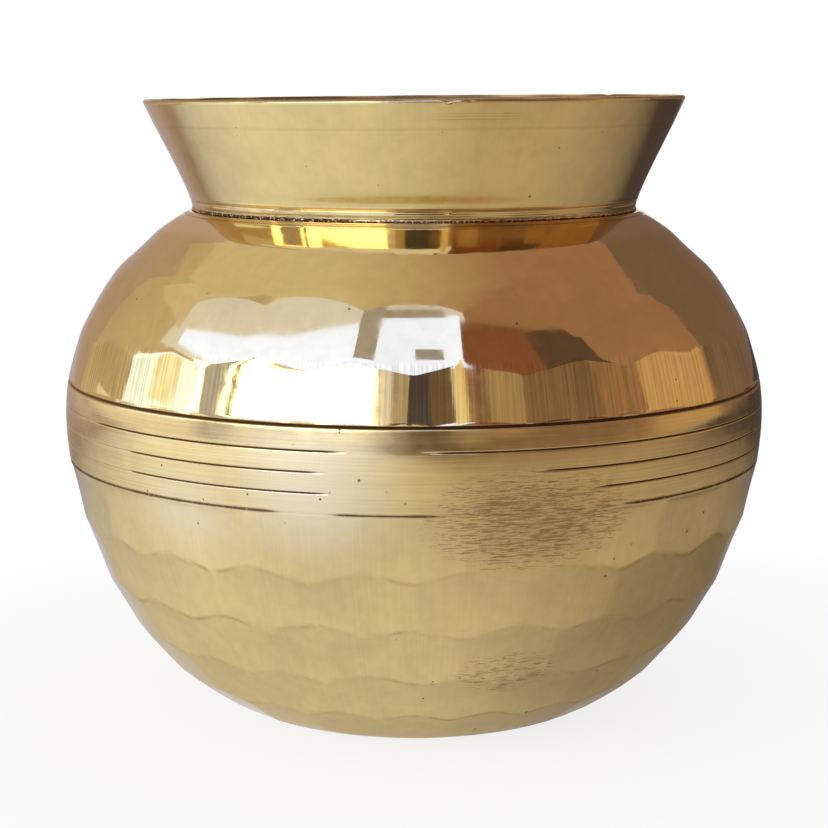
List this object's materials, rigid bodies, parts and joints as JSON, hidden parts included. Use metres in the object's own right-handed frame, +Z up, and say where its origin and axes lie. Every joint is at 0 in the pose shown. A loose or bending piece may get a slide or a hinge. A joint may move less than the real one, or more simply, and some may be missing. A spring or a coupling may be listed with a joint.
{
  "type": "lota water pot",
  "caption": "Round hammered brass water pot with a flaring turned collar, an incised band round the belly and a flat base, brazed at the neck and the belly.",
  "frame": {"origin": "centre of the flat base, on the surface that the pot stands on", "axes": "+Z up along the axis that the pot is turned about; -Y faces the viewer"},
  "size_m": [0.14, 0.14, 0.1215],
  "materials": {
    "collar_brass": "turned and polished",
    "shoulder_brass": "hammered and polished, with a turned band",
    "bowl_brass": "hammered and polished",
    "spelter": "dark, unpolished braze"
  },
  "bodies": {
    "root": {"neck_collar": "collar_brass", "neck_braze": "spelter", "shoulder_shell": "shoulder_brass", "belly_braze": "spelter", "lower_bowl": "bowl_brass"}
  },
  "joints": []
}
